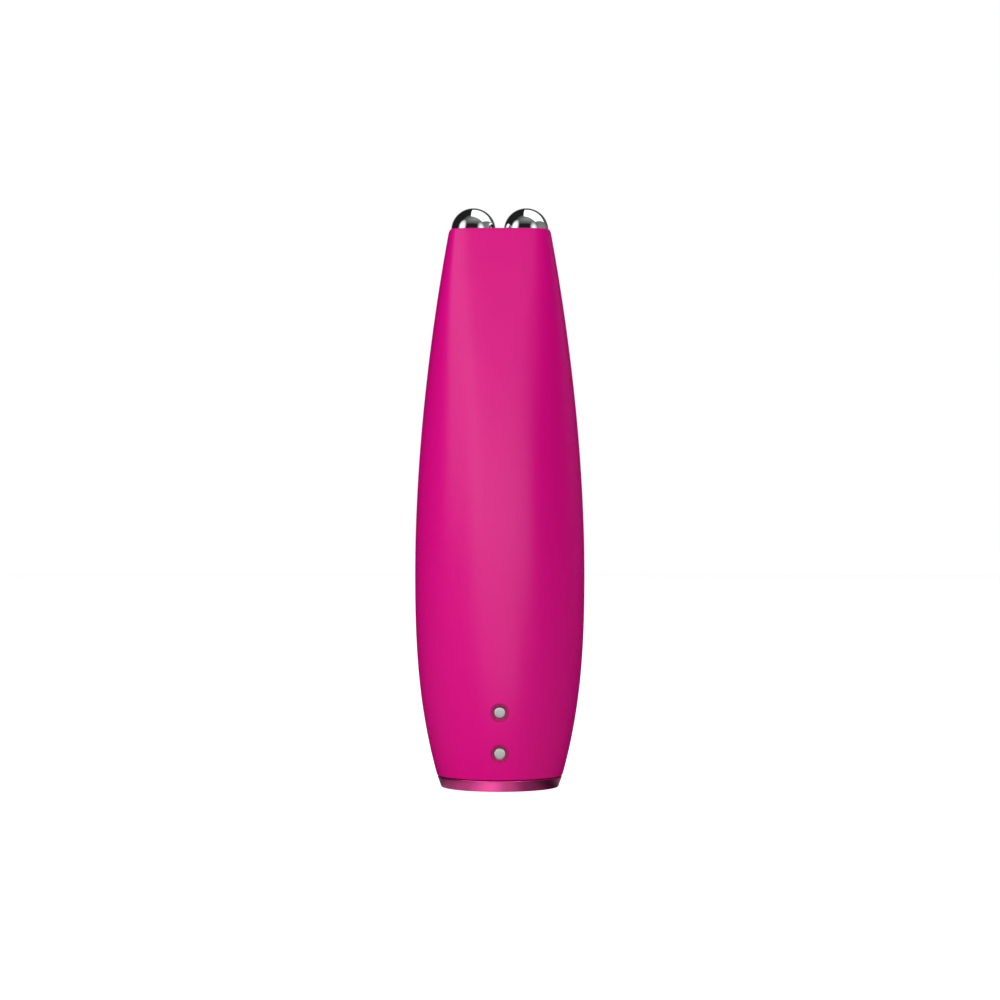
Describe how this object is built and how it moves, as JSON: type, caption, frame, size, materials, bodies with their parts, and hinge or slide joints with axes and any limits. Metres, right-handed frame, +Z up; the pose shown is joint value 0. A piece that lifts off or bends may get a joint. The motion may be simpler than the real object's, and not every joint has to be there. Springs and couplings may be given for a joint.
{
  "type": "facial toning device",
  "caption": "Slim hand-held facial toning device: soft silicone handle, two metal treatment spheres, rear charging contacts and a metallic base cap with a push button.",
  "frame": {"origin": "centre of the round base face on which the device stands", "axes": "+Z up along the handle, +Y to the front that the sphere face leans to, charging contacts on -Y, X is left to right"},
  "size_m": [0.0288, 0.0288, 0.0982],
  "materials": {
    "silicone": "soft-touch matt silicone with a fine grain",
    "pink_metal": "satin metallic lacquer",
    "chrome": "mirror polished",
    "contact_metal": "satin nickel plate",
    "dark_rubber": "matt",
    "clear_rubber": "translucent silicone",
    "white_plastic": "moulded, fine texture",
    "frosted_plastic": "frosted light guide",
    "grey_plastic": "moulded",
    "black_plastic": "moulded",
    "green_board": "solder mask",
    "steel": "bright zinc",
    "brass": "bright",
    "battery_wrap": "shrink wrap",
    "red_wire": "PVC insulation",
    "amber_film": "polyimide film"
  },
  "bodies": {
    "handle": {"silicone_sleeve": "silicone", "head_plate": "pink_metal", "head_gasket": "dark_rubber", "left_sphere": "chrome", "right_sphere": "chrome", "left_sphere_socket": "black_plastic", "right_sphere_socket": "black_plastic", "electrode_holder": "grey_plastic", "electrode_nuts": "brass", "electrode_terminals": "brass", "front_housing": "white_plastic", "rear_housing": "white_plastic", "housing_screws": "steel", "base_cap": "pink_metal", "base_gasket": "dark_rubber", "light_ring": "frosted_plastic", "button_seal": "clear_rubber", "board_spacer": "white_plastic", "switch_body": "black_plastic", "button_board": "green_board", "indicator_leds": "frosted_plastic", "lower_charge_contact": "contact_metal", "upper_charge_contact": "contact_metal", "contact_seals": "dark_rubber", "contact_board": "green_board", "charge_magnets": "steel", "battery_cell": "battery_wrap", "battery_pad": "dark_rubber", "main_board": "green_board", "control_chip": "black_plastic", "boost_coil": "black_plastic", "board_capacitors": "brass", "battery_connector": "white_plastic", "motor_can": "steel", "motor_mount": "dark_rubber", "electrode_leads": "red_wire", "motor_leads": "red_wire", "battery_leads": "red_wire", "contact_leads": "red_wire", "button_cable": "amber_film"},
    "power_button": {"power_button": "pink_metal"},
    "switch_plunger": {"switch_plunger": "steel"},
    "motor_rotor": {"motor_shaft": "steel", "eccentric_weight": "brass"}
  },
  "joints": [
    {"name": "button_press", "type": "slide", "parent": "handle", "child": "power_button", "axis": [0, 0, 1], "range_m": [0, 0.0004], "stiffness_N_per_m": 800, "deforming": ["button_seal"]},
    {"name": "switch_plunge", "type": "slide", "parent": "handle", "child": "switch_plunger", "axis": [0, 0, 1], "range_m": [0, 0.0004]},
    {"name": "motor_spin", "type": "hinge", "parent": "handle", "child": "motor_rotor", "pos_m": [0, -0.0006, 0.0625], "axis": [0, 0, 1], "continuous": true}
  ],
  "couplings": [
    {"joint": "switch_plunge", "follows": "button_press", "ratio": 1}
  ]
}
